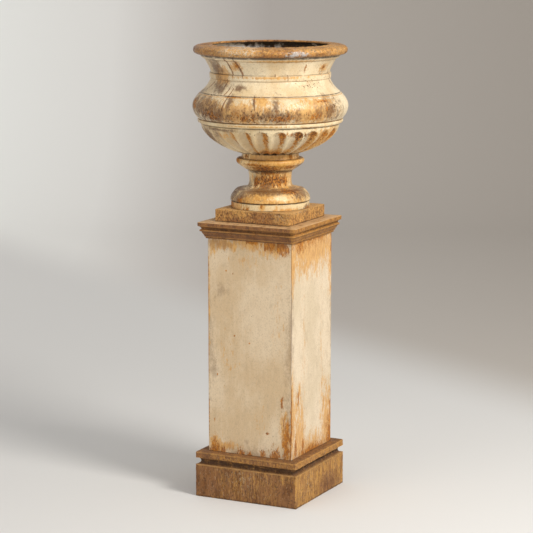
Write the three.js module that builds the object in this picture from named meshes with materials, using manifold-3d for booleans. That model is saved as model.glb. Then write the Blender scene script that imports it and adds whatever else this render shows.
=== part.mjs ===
// A garden urn on a tall square pedestal, both bolted together from iron castings.
// Millimetres, +Z up. The origin is the centre of the pedestal's underside.
import * as THREE from "three";
import { mergeVertices } from "three/addons/utils/BufferGeometryUtils.js";
import Module from "manifold-3d";

const wasm = await Module();
wasm.setup();

// Driving dimensions of the pedestal: half widths of its square plan, and its levels.
const BLOCK_HALF = 170;
const SLAB_HALF = 169.5;
const DIE_HALF = 140;
const CORNICE_HALF = 163;
const NECKING_HALF = 145;
const BLOCK_TOP = 110;
const SLAB_TOP = 140;
const DIE_TOP = 794;
const PEDESTAL_TOP = 844;
const GROOVE_DEPTH = 12;
const GROOVE_HALF_HEIGHT = 10;
const WALL = 12;
const PLATE = 12;
const PANEL = 10;
const FIT_GAP = 0.3;

// Driving dimensions of the urn: its levels and radii.
const URN_BASE_HALF = 123.5;
const URN_BASE_TOP = 882;
const DISC_RADIUS = 118.5;
const DISC_TOP = 902;
const SOCLE_TOP = 994;
const COLLAR_TOP = 1048;
const BEAD_TOP = 1150;
const NECK_TOP = 1341;
const RIM_TOP = 1372;
const BELLY_RADIUS = 234;
const RIM_RADIUS = 231.3;
const MOUTH_RADIUS = 175.5;
const NECK_BORE = 172;
const RIM_BORE = 199;
const STEM_BORE = 50;

const FLUTES = 24;
const FLUTE_STEPS = 3;
const FLUTE_DEPTH = 7;
// How far round from the front, in degrees, a ridge between two flutes is turned.
const FLUTE_TURN = 26.67;

// Fasteners: shank radius, hexagon radius over the corners, and height of head or nut.
const CENTRE_BOLT = { shank: 8, hexagon: 14, height: 13 };
const TIE_BOLT = { shank: 6, hexagon: 11, height: 9 };
const FLANGE_BOLT = { shank: 3, hexagon: 6.5, height: 5 };
const PANEL_SCREW = { shank: 3, hexagon: 6.5, height: 5 };
const HOLE_CLEARANCE = 0.5;
const THREAD_CLEARANCE = 0.1;
// How far a bolt's end stands out beyond its nut.
const THREAD_PROUD = 4;
const BOLT_BORE = CENTRE_BOLT.shank + HOLE_CLEARANCE;
const WASHER = { radius: 20, height: 4 };

const TIE_BOLTS = 4;
const TIE_RADIUS = 98 * Math.SQRT2;
const COUNTERBORE = { radius: 14, floor: 832 };
const TIE_BOSS = { radius: 18, floor: 820 };
const FLANGE_BOLTS = 4;
const FLANGE_BORE = 172;
const FLANGE_PITCH_RADIUS = 184;
const FLANGE_PLATE = 8;
const BOWL_FLOOR = 1060;
const BASE_PLATE = 10;
const TONGUE = { inner: 203, outer: 207, height: 4 };
const DRAIN_HOLES = 4;
const DRAIN = { radius: 6, pitch: 34 };

const ANGLE = { leg: 32, plate: 5, foot: 155, head: 780 };
const SCREW_LEVELS = [230, 705];
const SCREW_INSET = 22;
const SCREW_DEPTH = 6;
const SCREW_SEAT = -(DIE_HALF - PANEL - FIT_GAP - ANGLE.plate);
const SCREW_TIP = -(DIE_HALF - PANEL + SCREW_DEPTH);

const ROUND_STEPS = 36;
const HOLE_STEPS = 8;
const WASHER_STEPS = 24;
const CURVE_STEPS = 3;
const MERGE_DISTANCE = 1e-3;

const CREAM_PAINT = { color: 0xc9b58a, roughness: 0.75, metalness: 0 };
const RUSTED_PAINT = { color: 0x8a5a2c, roughness: 0.85, metalness: 0 };
const DARK_RUST = { color: 0x55351c, roughness: 0.9, metalness: 0.1 };
const DULL_STEEL = { color: 0x6f6459, roughness: 0.6, metalness: 0.7 };

const object = new THREE.Group();

// ---- Shape helpers -------------------------------------------------------------------

function toSolid(geometry) {
  const bare = geometry.clone();
  bare.deleteAttribute("normal");
  bare.deleteAttribute("uv");
  const merged = mergeVertices(bare, MERGE_DISTANCE);
  const corners = merged.index.array;
  const kept = [];
  for (let i = 0; i < corners.length; i += 3) {
    const [a, b, c] = corners.slice(i, i + 3);
    if (a !== b && b !== c && c !== a) kept.push(a, b, c);
  }
  return new wasm.Manifold(new wasm.Mesh({
    numProp: 3,
    vertProperties: merged.attributes.position.array,
    triVerts: new Uint32Array(kept),
  }));
}

function toGeometry(solid) {
  const mesh = solid.getMesh();
  const geometry = new THREE.BufferGeometry();
  geometry.setAttribute("position", new THREE.BufferAttribute(mesh.vertProperties, mesh.numProp));
  geometry.setIndex(new THREE.BufferAttribute(mesh.triVerts, 1));
  geometry.computeVertexNormals();
  return geometry;
}

function join(...geometries) {
  return toGeometry(geometries.map(toSolid).reduce((whole, piece) => whole.add(piece)));
}

function cut(geometry, ...tools) {
  return toGeometry(tools.map(toSolid).reduce((whole, tool) => whole.subtract(tool), toSolid(geometry)));
}

// A closed outline turned about Z. It is drawn anticlockwise: up the outside, down the inside.
function turned(outline, steps = ROUND_STEPS) {
  outline.closePath();
  return new THREE.LatheGeometry(outline.getPoints(CURVE_STEPS), steps).rotateX(Math.PI / 2);
}

// The same for a square plan: the outline's distances are half widths, and it mitres at the corners.
function squared(outline) {
  const corner = Math.SQRT2;
  return turned(outline, 4).rotateZ(Math.PI / 4).scale(corner, corner, 1);
}

function rod(radius, low, high, steps = HOLE_STEPS) {
  const upright = new THREE.CylinderGeometry(radius, radius, high - low, steps).rotateX(Math.PI / 2);
  return upright.translate(0, 0, (low + high) / 2);
}

function around(count, radius, make) {
  return Array.from({ length: count }, (_, i) => {
    const turn = (i + 0.5) * 2 * Math.PI / count;
    return make().translate(radius * Math.cos(turn), radius * Math.sin(turn), 0);
  });
}

function add(name, geometry, finish) {
  const mesh = new THREE.Mesh(geometry, new THREE.MeshStandardMaterial(finish));
  mesh.name = name;
  object.add(mesh);
  return mesh;
}

// A hexagon bolt along Z, its head's seat at `seat`, the shank running to `tip`.
function hexBolt(size, seat, tip) {
  const up = Math.sign(seat - tip);
  const top = seat + up * size.height;
  const head = rod(size.hexagon, Math.min(seat, top), Math.max(seat, top), 6);
  return join(head, rod(size.shank, Math.min(tip, seat + up), Math.max(tip, seat + up)));
}

function hexNut(size, low) {
  const bore = size.shank + THREAD_CLEARANCE;
  return cut(rod(size.hexagon, low, low + size.height, 6), rod(bore, low - 1, low + size.height + 1));
}

// ---- Pedestal ------------------------------------------------------------------------

function tieHoles(low, high) {
  const radius = TIE_BOLT.shank + HOLE_CLEARANCE;
  return around(TIE_BOLTS, TIE_RADIUS, () => rod(radius, low, high));
}

function plinthBlock() {
  const grooveHalf = BLOCK_HALF - GROOVE_DEPTH;
  const lip = BLOCK_TOP - GROOVE_HALF_HEIGHT;
  const outline = new THREE.Path()
    .moveTo(BLOCK_HALF, 0)
    .lineTo(BLOCK_HALF, lip)
    .quadraticCurveTo(grooveHalf, lip + 1, grooveHalf, BLOCK_TOP)
    .lineTo(0, BLOCK_TOP)
    .lineTo(0, BLOCK_TOP - PLATE)
    .lineTo(grooveHalf - WALL, BLOCK_TOP - PLATE)
    .lineTo(BLOCK_HALF - WALL, lip - PLATE)
    .lineTo(BLOCK_HALF - WALL, 0);
  return cut(squared(outline), ...tieHoles(0, SLAB_TOP));
}

function baseSlab() {
  const grooveHalf = BLOCK_HALF - GROOVE_DEPTH;
  const lip = BLOCK_TOP + GROOVE_HALF_HEIGHT;
  const chamfer = 2;
  const recessHalf = grooveHalf - WALL;
  const outline = new THREE.Path()
    .moveTo(grooveHalf, BLOCK_TOP)
    .quadraticCurveTo(grooveHalf, lip - 1, SLAB_HALF, lip)
    .lineTo(SLAB_HALF, SLAB_TOP - chamfer)
    .lineTo(SLAB_HALF - chamfer, SLAB_TOP)
    .lineTo(0, SLAB_TOP)
    .lineTo(0, SLAB_TOP - PLATE)
    .lineTo(recessHalf, SLAB_TOP - PLATE)
    .lineTo(recessHalf, BLOCK_TOP);
  return cut(squared(outline), ...tieHoles(BLOCK_TOP - PLATE, SLAB_TOP + 1));
}

function cornice() {
  const shelf = PEDESTAL_TOP - PLATE;
  const soffit = DIE_HALF - PANEL;
  const outline = new THREE.Path()
    .moveTo(NECKING_HALF, DIE_TOP)
    .lineTo(NECKING_HALF, DIE_TOP + 4)
    .bezierCurveTo(147, 806, 153, 808, 154.5, 816)
    .lineTo(157, 817)
    .quadraticCurveTo(159, 819.5, 157, 822)
    .lineTo(157.5, 826)
    .quadraticCurveTo(CORNICE_HALF - 4, shelf - 1, CORNICE_HALF, shelf)
    .lineTo(CORNICE_HALF, PEDESTAL_TOP - 1)
    .lineTo(CORNICE_HALF - 1, PEDESTAL_TOP)
    .lineTo(0, PEDESTAL_TOP)
    .lineTo(0, shelf)
    .lineTo(soffit + PANEL, shelf)
    .lineTo(soffit, DIE_TOP + PANEL)
    .lineTo(soffit, DIE_TOP);
  const bosses = around(TIE_BOLTS, TIE_RADIUS, () => rod(TIE_BOSS.radius, TIE_BOSS.floor, shelf + 1));
  const bores = around(TIE_BOLTS, TIE_RADIUS, () => (
    rod(COUNTERBORE.radius, COUNTERBORE.floor, PEDESTAL_TOP + 1)));
  return cut(join(squared(outline), ...bosses), ...bores, ...tieHoles(DIE_TOP, PEDESTAL_TOP));
}

// Each panel is made at the front, its ends mitred, and turned to its own side.
function frontPanel() {
  const outer = DIE_HALF - FIT_GAP;
  const inner = outer - PANEL;
  const back = -(DIE_HALF - PANEL);
  const plan = new THREE.Shape()
    .moveTo(-outer, -DIE_HALF)
    .lineTo(outer, -DIE_HALF)
    .lineTo(inner, back)
    .lineTo(-inner, back);
  const depth = DIE_TOP - SLAB_TOP;
  const plate = new THREE.ExtrudeGeometry(plan, { depth, bevelEnabled: false }).translate(0, 0, SLAB_TOP);
  return cut(plate, ...screwPlaces(screwHole));
}

function screwPlaces(make) {
  const across = DIE_HALF - PANEL - SCREW_INSET;
  return SCREW_LEVELS.flatMap((z) => [-across, across].map((x) => make(x, z)));
}

// A screw's hole lies along Y: a rod along Z is laid over so that its levels become distances along Y.
function screwHole(x, z) {
  const radius = PANEL_SCREW.shank + HOLE_CLEARANCE;
  return rod(radius, SCREW_TIP - HOLE_CLEARANCE, SCREW_SEAT + 1).rotateX(-Math.PI / 2).translate(x, 0, z);
}

function cornerAngle() {
  const face = DIE_HALF - PANEL - FIT_GAP;
  const tip = face - ANGLE.leg;
  const inside = face - ANGLE.plate;
  const plan = new THREE.Shape()
    .moveTo(face, -face)
    .lineTo(face, -tip)
    .lineTo(inside, -tip)
    .lineTo(inside, -inside)
    .lineTo(tip, -inside)
    .lineTo(tip, -face);
  const depth = ANGLE.head - ANGLE.foot;
  const bar = new THREE.ExtrudeGeometry(plan, { depth, bevelEnabled: false }).translate(0, 0, ANGLE.foot);
  const frontHoles = screwPlaces(screwHole);
  const sideHoles = screwPlaces(screwHole).map((hole) => hole.rotateZ(Math.PI / 2));
  return cut(bar, ...frontHoles, ...sideHoles);
}

function panelScrew(x, z) {
  return hexBolt(PANEL_SCREW, SCREW_SEAT, SCREW_TIP).rotateX(-Math.PI / 2).translate(x, 0, z);
}

// ---- Urn -----------------------------------------------------------------------------

function drainHoles(low, high) {
  return around(DRAIN_HOLES, DRAIN.pitch, () => rod(DRAIN.radius, low, high));
}

function flangeHoles() {
  const radius = FLANGE_BOLT.shank + HOLE_CLEARANCE;
  const reach = FLANGE_PLATE + 1;
  return around(FLANGE_BOLTS, FLANGE_PITCH_RADIUS, () => rod(radius, BEAD_TOP - reach, BEAD_TOP + reach));
}

function urnBase() {
  const inside = URN_BASE_HALF - BASE_PLATE;
  const ceiling = URN_BASE_TOP - BASE_PLATE;
  const outline = new THREE.Path()
    .moveTo(URN_BASE_HALF, PEDESTAL_TOP)
    .lineTo(URN_BASE_HALF, URN_BASE_TOP - 2)
    .lineTo(URN_BASE_HALF - 2, URN_BASE_TOP)
    .lineTo(0, URN_BASE_TOP)
    .lineTo(0, ceiling)
    .lineTo(inside, ceiling)
    .lineTo(inside, PEDESTAL_TOP);
  const bore = rod(BOLT_BORE, PEDESTAL_TOP, DISC_TOP);
  return cut(squared(outline), bore, ...drainHoles(PEDESTAL_TOP, DISC_TOP));
}

function footDisc() {
  const edge = 2;
  const outline = new THREE.Path()
    .moveTo(DISC_RADIUS, URN_BASE_TOP)
    .lineTo(DISC_RADIUS, DISC_TOP - edge)
    .quadraticCurveTo(DISC_RADIUS, DISC_TOP, DISC_RADIUS - edge, DISC_TOP)
    .lineTo(BOLT_BORE, DISC_TOP)
    .lineTo(BOLT_BORE, URN_BASE_TOP);
  return cut(turned(outline), ...drainHoles(URN_BASE_TOP - 1, DISC_TOP + 1));
}

function socle() {
  const outline = new THREE.Path()
    .moveTo(115, DISC_TOP)
    .quadraticCurveTo(121, DISC_TOP, 121, 906)
    .bezierCurveTo(121, 916, 111, 931, 102, 937.5)
    .lineTo(99, 938)
    .quadraticCurveTo(71, 941, 66.4, 950)
    .bezierCurveTo(63, 958, 63.5, 974, 65.5, 984)
    .quadraticCurveTo(66.5, 990, 68.5, SOCLE_TOP)
    .lineTo(STEM_BORE, SOCLE_TOP)
    .lineTo(STEM_BORE, DISC_TOP);
  return turned(outline);
}

function stemCollar() {
  const outline = new THREE.Path()
    .moveTo(69, SOCLE_TOP)
    .quadraticCurveTo(81, 1000, 96, 1012)
    .quadraticCurveTo(102, 1016, 103, 1023)
    .quadraticCurveTo(102, 1029, 98, 1030.5)
    .lineTo(88, 1031.5)
    .quadraticCurveTo(85.5, 1038, 86, COLLAR_TOP)
    .lineTo(STEM_BORE, COLLAR_TOP)
    .lineTo(STEM_BORE, SOCLE_TOP);
  return turned(outline);
}

// The bowl's flutes are hollowed in the first curve of its outline, deepest at mid height.
function lowerBowl() {
  const flange = BEAD_TOP - FLANGE_PLATE;
  const outline = new THREE.Path()
    .moveTo(98, COLLAR_TOP)
    .bezierCurveTo(140, 1060, 205, 1093, 208, 1133)
    .lineTo(209, 1136)
    .quadraticCurveTo(218.5, 1138, 219, 1146)
    .lineTo(217.5, BEAD_TOP)
    .lineTo(FLANGE_BORE, BEAD_TOP)
    .lineTo(FLANGE_BORE, flange)
    .lineTo(193, flange)
    .bezierCurveTo(192, 1103, 128, 1072, 84, BOWL_FLOOR)
    .lineTo(BOLT_BORE, BOWL_FLOOR)
    .lineTo(BOLT_BORE, COLLAR_TOP);
  const bowl = turned(outline, FLUTES * FLUTE_STEPS);
  hollowFlutes(bowl);
  bowl.rotateZ(THREE.MathUtils.degToRad(FLUTE_TURN));
  return cut(bowl, ...drainHoles(COLLAR_TOP - 1, BOWL_FLOOR + 1), ...flangeHoles());
}

function hollowFlutes(bowl) {
  const place = bowl.attributes.position;
  const outlinePoints = place.count / (FLUTES * FLUTE_STEPS + 1);
  for (let i = 0; i < place.count; i += 1) {
    const along = (i % outlinePoints) / CURVE_STEPS;
    const across = Math.floor(i / outlinePoints) / FLUTE_STEPS;
    if (along > 0 && along < 1) {
      const hollow = FLUTE_DEPTH * Math.sin(Math.PI * along) * Math.abs(Math.sin(Math.PI * across));
      const shrink = 1 - hollow / Math.hypot(place.getX(i), place.getY(i));
      place.setXY(i, place.getX(i) * shrink, place.getY(i) * shrink);
    }
  }
}

function upperBowl() {
  const outline = new THREE.Path()
    .moveTo(217.5, BEAD_TOP)
    .bezierCurveTo(225, 1158, BELLY_RADIUS, 1172, BELLY_RADIUS, 1188)
    .bezierCurveTo(BELLY_RADIUS, 1202, 224, 1216, 211.5, 1228)
    .lineTo(208.5, 1230)
    .bezierCurveTo(196, 1240, 184, 1255, 179, 1271)
    .lineTo(181.5, 1272.5)
    .lineTo(181.5, 1286.5)
    .lineTo(178.5, 1288)
    .bezierCurveTo(181, 1302, 190, 1314, 198, 1329)
    .quadraticCurveTo(208, 1331, 210, NECK_TOP)
    .lineTo(TONGUE.outer, NECK_TOP)
    .lineTo(TONGUE.outer, NECK_TOP + TONGUE.height)
    .lineTo(TONGUE.inner, NECK_TOP + TONGUE.height)
    .lineTo(TONGUE.inner, NECK_TOP)
    .lineTo(RIM_BORE, NECK_TOP)
    .bezierCurveTo(188, 1324, NECK_BORE, 1312, NECK_BORE, 1285)
    .lineTo(NECK_BORE, 1268)
    .bezierCurveTo(176, 1238, 226, 1222, 226, 1188)
    .bezierCurveTo(226, 1172, 218, 1160, 209, BEAD_TOP + FLANGE_PLATE)
    .lineTo(FLANGE_BORE, BEAD_TOP + FLANGE_PLATE)
    .lineTo(FLANGE_BORE, BEAD_TOP);
  return cut(turned(outline), ...flangeHoles());
}

// The rim is a hollow roll: its top runs in to a thin lip that overhangs the neck's bore.
function rimRing() {
  const roof = NECK_TOP + TONGUE.height + FIT_GAP;
  const outline = new THREE.Path()
    .moveTo(213, NECK_TOP)
    .quadraticCurveTo(231, NECK_TOP, RIM_RADIUS, 1355)
    .bezierCurveTo(RIM_RADIUS, 1364, 222, 1369, 208, 1370)
    .lineTo(188, 1370)
    .quadraticCurveTo(184, RIM_TOP, 181, RIM_TOP)
    .quadraticCurveTo(MOUTH_RADIUS, RIM_TOP, MOUTH_RADIUS, 1367)
    .lineTo(MOUTH_RADIUS + 2, 1364.5)
    .quadraticCurveTo(RIM_BORE, 1363, RIM_BORE, 1352)
    .lineTo(RIM_BORE, NECK_TOP)
    .lineTo(TONGUE.inner - FIT_GAP, NECK_TOP)
    .lineTo(TONGUE.inner - FIT_GAP, roof)
    .lineTo(TONGUE.outer + FIT_GAP, roof)
    .lineTo(TONGUE.outer + FIT_GAP, NECK_TOP);
  return turned(outline);
}

function washer(low) {
  const top = low + WASHER.height;
  return cut(rod(WASHER.radius, low, top, WASHER_STEPS), rod(BOLT_BORE, low - 1, top + 1));
}

// ---- Assembly ------------------------------------------------------------------------

add("plinth_block", plinthBlock(), RUSTED_PAINT);
add("base_slab", baseSlab(), RUSTED_PAINT);
add("cornice", cornice(), DARK_RUST);

const SIDES = ["front", "right", "back", "left"];
SIDES.forEach((side, i) => {
  const turn = i * Math.PI / 2;
  add(`panel_${side}`, frontPanel().rotateZ(turn), CREAM_PAINT);
  add(`corner_angle_${i + 1}`, cornerAngle().rotateZ(turn), DARK_RUST);
  screwPlaces(panelScrew).forEach((screw, j) => {
    add(`panel_screw_${side}_${j + 1}`, screw.rotateZ(turn), DULL_STEEL);
  });
});

const TIE_SEAT = BLOCK_TOP - PLATE;
const tieBolt = () => hexBolt(TIE_BOLT, COUNTERBORE.floor, TIE_SEAT - TIE_BOLT.height - THREAD_PROUD);
around(TIE_BOLTS, TIE_RADIUS, tieBolt).forEach((bolt, i) => {
  add(`tie_bolt_${i + 1}`, bolt, DULL_STEEL);
});
const tieNut = () => hexNut(TIE_BOLT, TIE_SEAT - TIE_BOLT.height);
around(TIE_BOLTS, TIE_RADIUS, tieNut).forEach((nut, i) => {
  add(`tie_nut_${i + 1}`, nut, DULL_STEEL);
});

add("urn_base", urnBase(), DARK_RUST);
add("foot_disc", footDisc(), CREAM_PAINT);
add("socle", socle(), RUSTED_PAINT);
add("stem_collar", stemCollar(), RUSTED_PAINT);
add("lower_bowl", lowerBowl(), CREAM_PAINT);
add("upper_bowl", upperBowl(), CREAM_PAINT);
add("rim_ring", rimRing(), RUSTED_PAINT);

const washerUnderBase = URN_BASE_TOP - BASE_PLATE - WASHER.height;
const nutUnderBase = washerUnderBase - CENTRE_BOLT.height;
add("bowl_washer", washer(BOWL_FLOOR), DULL_STEEL);
add("base_washer", washer(washerUnderBase), DULL_STEEL);
add("centre_bolt", hexBolt(CENTRE_BOLT, BOWL_FLOOR + WASHER.height, nutUnderBase - THREAD_PROUD), DULL_STEEL);
add("centre_nut", hexNut(CENTRE_BOLT, nutUnderBase), DULL_STEEL);

const flangeSeat = BEAD_TOP + FLANGE_PLATE;
const nutSeat = BEAD_TOP - FLANGE_PLATE;
const flangeBolt = () => hexBolt(FLANGE_BOLT, flangeSeat, nutSeat - FLANGE_BOLT.height - THREAD_PROUD);
around(FLANGE_BOLTS, FLANGE_PITCH_RADIUS, flangeBolt).forEach((bolt, i) => {
  add(`flange_bolt_${i + 1}`, bolt, DULL_STEEL);
});
const flangeNut = () => hexNut(FLANGE_BOLT, nutSeat - FLANGE_BOLT.height);
around(FLANGE_BOLTS, FLANGE_PITCH_RADIUS, flangeNut).forEach((nut, i) => {
  add(`flange_nut_${i + 1}`, nut, DULL_STEEL);
});

export default object;
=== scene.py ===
import math

import bmesh
import bpy
from mathutils import Matrix, Vector, noise


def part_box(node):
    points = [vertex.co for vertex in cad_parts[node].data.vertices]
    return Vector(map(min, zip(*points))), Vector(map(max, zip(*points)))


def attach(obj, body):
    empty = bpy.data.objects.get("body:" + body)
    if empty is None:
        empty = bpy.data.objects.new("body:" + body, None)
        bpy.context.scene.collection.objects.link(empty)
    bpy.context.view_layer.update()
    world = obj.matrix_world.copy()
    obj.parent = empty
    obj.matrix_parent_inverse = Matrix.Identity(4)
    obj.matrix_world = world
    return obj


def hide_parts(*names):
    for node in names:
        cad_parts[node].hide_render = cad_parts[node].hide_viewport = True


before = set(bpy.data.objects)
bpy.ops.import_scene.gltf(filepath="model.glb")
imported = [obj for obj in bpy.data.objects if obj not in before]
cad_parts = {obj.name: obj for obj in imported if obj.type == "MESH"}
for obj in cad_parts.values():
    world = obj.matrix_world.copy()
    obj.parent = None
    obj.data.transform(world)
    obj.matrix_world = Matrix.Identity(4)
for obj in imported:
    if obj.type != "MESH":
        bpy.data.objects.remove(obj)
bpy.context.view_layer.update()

MM = 0.001

# ---- Camera, light and stage ---------------------------------------------------------

CAMERA_BEARING = math.radians(26.67)
CAMERA_PITCH = math.radians(9.71)
CAMERA_DISTANCE = 6.372
CAMERA_LENS = 141.84
CAMERA_REACH = 50
AIM_ASIDE = -0.0115
AIM_HEIGHT = 0.697
KEY_TINT = (1.0, 0.975, 0.93)
FILL_TINT = (1.0, 1.0, 1.0)
SKY_TINT = (1.0, 0.995, 0.985, 1)
SKY_STRENGTH = 0.62


def on_stage(aside, away, height):
    """The point that is so many metres to the right of the pedestal's foot, behind it, and up, as the
    camera sees it."""
    across = Vector((math.cos(CAMERA_BEARING), math.sin(CAMERA_BEARING), 0))
    behind = Vector((-math.sin(CAMERA_BEARING), math.cos(CAMERA_BEARING), 0))
    return across * aside + behind * away + Vector((0, 0, height))


def facing(bearing, pitch):
    """The way that a camera or light looks when it stands at that bearing from the front and tips down."""
    across = Vector((-math.sin(bearing), math.cos(bearing), 0)) * math.cos(pitch)
    return across - Vector((0, 0, math.sin(pitch)))


def aim(thing, place, target):
    thing.location = place
    thing.rotation_euler = (target - place).to_track_quat("-Z", "Y").to_euler()


def make_camera():
    data = bpy.data.cameras.new("camera")
    data.lens = CAMERA_LENS
    data.clip_end = CAMERA_REACH
    camera = bpy.data.objects.new("camera", data)
    bpy.context.scene.collection.objects.link(camera)
    target = on_stage(AIM_ASIDE, 0, AIM_HEIGHT)
    aim(camera, target - facing(CAMERA_BEARING, CAMERA_PITCH) * CAMERA_DISTANCE, target)
    bpy.context.scene.camera = camera


def make_light(name, place, target, size, power, tint):
    data = bpy.data.lights.new(name, "AREA")
    data.shape = "DISK"
    data.size = size
    data.energy = power
    data.color = tint
    light = bpy.data.objects.new(name, data)
    bpy.context.scene.collection.objects.link(light)
    aim(light, place, target)


def make_lights():
    """A sunny key from the right, a soft fill from the left, and a lamp behind the urn that lights only
    the left of the backdrop."""
    middle = Vector((0, 0, AIM_HEIGHT))
    key = middle - facing(math.radians(72), math.radians(38)) * 4.0
    fill = middle - facing(math.radians(-20), math.radians(20)) * 5.0
    make_light("key", key, middle, size=1.3, power=130, tint=KEY_TINT)
    make_light("fill", fill, middle, size=3.0, power=22, tint=FILL_TINT)
    make_light("wall_wash", on_stage(-3.2, 3.0, 3.6), on_stage(-3.4, 8.0, 1.2), size=2.0, power=36,
               tint=FILL_TINT)
    world = bpy.data.worlds.new("studio")
    world.use_nodes = True
    background = world.node_tree.nodes["Background"]
    background.inputs["Color"].default_value = SKY_TINT
    background.inputs["Strength"].default_value = SKY_STRENGTH
    bpy.context.scene.world = world
    bpy.context.scene.view_settings.view_transform = "Standard"


# ---- Colours -------------------------------------------------------------------------

def colour(code):
    """A paint chip such as #e0c79f as the linear colour that the shader takes, by the sRGB curve."""
    chips = [int(code[i:i + 2], 16) / 255 for i in (1, 3, 5)]
    return tuple(c / 12.92 if c < 0.04045 else ((c + 0.055) / 1.055) ** 2.4 for c in chips) + (1,)


PALE_CREAM = colour("#f4e6cb")
DUST = colour("#b39c7c")
SOOT = colour("#7c5f42")
GOLD = colour("#dba24a")
OCHRE = colour("#c1811f")
ORANGE = colour("#c27a1c")
RUST = colour("#92541a")
UMBER = colour("#623a1b")
BARK = colour("#3f2513")
COAL = colour("#1d120b")
# Pale grey, used for painted light on the rim: its highlight, partly worn metal, and the lit patch inside its
# mouth.
GREY_HIGHLIGHT = colour("#bdbab6")


# ---- Materials -----------------------------------------------------------------------

class Finish:
    """Builds one material. Each method adds nodes and returns the socket that carries their result."""

    def __init__(self, name):
        self.material = bpy.data.materials.new(name)
        self.material.use_nodes = True
        self.tree = self.material.node_tree
        self.surface = self.tree.nodes["Principled BSDF"]
        self.point = self.add("ShaderNodeTexCoord").outputs["Object"]
        self.place = self.point

    def add(self, kind, values=None, **settings):
        made = self.tree.nodes.new(kind)
        for name, value in settings.items():
            setattr(made, name, value)
        for name, value in (values or {}).items():
            socket = made.inputs[name]
            if isinstance(value, bpy.types.NodeSocket):
                self.tree.links.new(value, socket)
            else:
                socket.default_value = value
        return made

    def maths(self, operation, first, second=0.0):
        return self.add("ShaderNodeMath", {0: first, 1: second}, operation=operation).outputs[0]

    def cloud(self, size, stretch=1.0, detail=4.0, rough=0.55, seed=0.0, twist=0.0):
        """Noise with lumps of about that size in metres, drawn out along Z by stretch."""
        scale = (1 / size, 1 / size, 1 / size / stretch)
        place = self.add("ShaderNodeMapping", {
            "Vector": self.point, "Location": (seed, seed * 1.7, seed * 0.6), "Scale": scale})
        values = {
            "Vector": place.outputs[0], "Scale": 1.0, "Detail": detail, "Roughness": rough,
            "Distortion": twist}
        return self.add("ShaderNodeTexNoise", values).outputs["Fac"]

    def mask(self, value, low, high):
        values = {"Value": value, "From Min": low, "From Max": high}
        return self.add("ShaderNodeMapRange", values, interpolation_type="SMOOTHSTEP").outputs[0]

    def mix(self, factor, first, second):
        node = self.add("ShaderNodeMix", {0: factor, 6: first, 7: second}, data_type="RGBA")
        return node.outputs[2]

    def layer(self, name):
        """The value that the mesh carries under that name at each vertex."""
        return self.add("ShaderNodeAttribute", attribute_name=name).outputs["Fac"]

    def axis(self, name):
        return self.add("ShaderNodeSeparateXYZ", {0: self.point}).outputs[name]

    def unroll(self, radius):
        """From here on patches are measured on a cylinder of that radius in metres, straight across from
        the surface."""
        flat = self.add("ShaderNodeVectorMath", {0: self.point, 1: (1, 1, 0)}, operation="MULTIPLY")
        out = self.add("ShaderNodeVectorMath", {0: flat.outputs[0]}, operation="NORMALIZE")
        wide = self.add("ShaderNodeVectorMath", {0: out.outputs[0], "Scale": radius}, operation="SCALE")
        up = self.add("ShaderNodeVectorMath", {0: self.point, 1: (0, 0, 1)}, operation="MULTIPLY")
        self.place = self.add("ShaderNodeVectorMath", {0: wide.outputs[0], 1: up.outputs[0]}).outputs[0]

    def patch(self, centre, reach):
        """1 at the centre, falling to 0 at the reach along each axis and below 0 beyond it."""
        offset = self.add("ShaderNodeVectorMath", {0: self.place, 1: centre}, operation="SUBTRACT")
        scaled = self.add("ShaderNodeVectorMath", {0: offset.outputs[0], 1: reach}, operation="DIVIDE")
        length = self.add("ShaderNodeVectorMath", {0: scaled.outputs[0]}, operation="LENGTH")
        return self.maths("SUBTRACT", 1.0, length.outputs["Value"])

    def line(self, height, half):
        """1 along a level line at that height in mm, falling to 0 at half its thickness away."""
        off = self.maths("ABSOLUTE", self.maths("SUBTRACT", self.axis("Z"), height * MM))
        return self.mask(off, half * MM, half * MM * 0.3)

    def ragged(self, size, stretch, seed):
        """Noise with both broad runs and fine torn edges."""
        broad = self.maths("MULTIPLY", self.cloud(size, stretch, 5, 0.6, seed), 0.6)
        fine = self.maths("MULTIPLY", self.cloud(size * 0.27, stretch, 4, 0.7, seed + 5), 0.4)
        return self.maths("ADD", broad, fine)

    def most(self, fields):
        """The greatest of some fields, and never below 0."""
        greatest = 0.0
        for field in fields:
            greatest = self.maths("MAXIMUM", field, greatest)
        return greatest

    def lifted(self, pattern, base, *lifts):
        """A noise pattern raised by a constant and by each (field, amount) pair."""
        total = self.maths("ADD", pattern, base)
        for field, amount in lifts:
            total = self.maths("ADD", total, self.maths("MULTIPLY", field, amount))
        return total

    def finish(self, colour_socket, roughness, height, depth):
        bump = self.add("ShaderNodeBump", {"Height": height, "Distance": depth, "Strength": 1.0})
        links = self.tree.links
        links.new(colour_socket, self.surface.inputs["Base Color"])
        links.new(roughness, self.surface.inputs["Roughness"])
        links.new(bump.outputs[0], self.surface.inputs["Normal"])
        return self.material


# ---- Shapes --------------------------------------------------------------------------

# How far apart an outline's points are, in millimetres: on surfaces that show, and inside.
FINE = 2.0
COARSE = 14.0
# Faces that meet at more than this angle keep a sharp edge between them.
SHARP_ANGLE = math.radians(50)


def bezier(controls, t):
    while len(controls) > 1:
        controls = [a.lerp(b, t) for a, b in zip(controls, controls[1:])]
    return controls[0]


def trace(start, *strokes):
    """An outline in millimetres. Each stroke is the points of one line or curve, after where the last ended.
    A number among the strokes is the spacing of the points from there on."""
    points = [Vector(start)]
    spacing = FINE
    for stroke in strokes:
        if isinstance(stroke, (int, float)):
            spacing = stroke
            continue
        controls = [points[-1], *map(Vector, stroke)]
        length = sum((b - a).length for a, b in zip(controls, controls[1:]))
        steps = max(1, round(length / spacing))
        points += [bezier(controls, i / steps) for i in range(1, steps + 1)]
    return points


# Into how many like sectors a turned shape is split.
SECTORS = 24
# Lengths in metres below this count as none.
TINY = 1e-6


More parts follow.
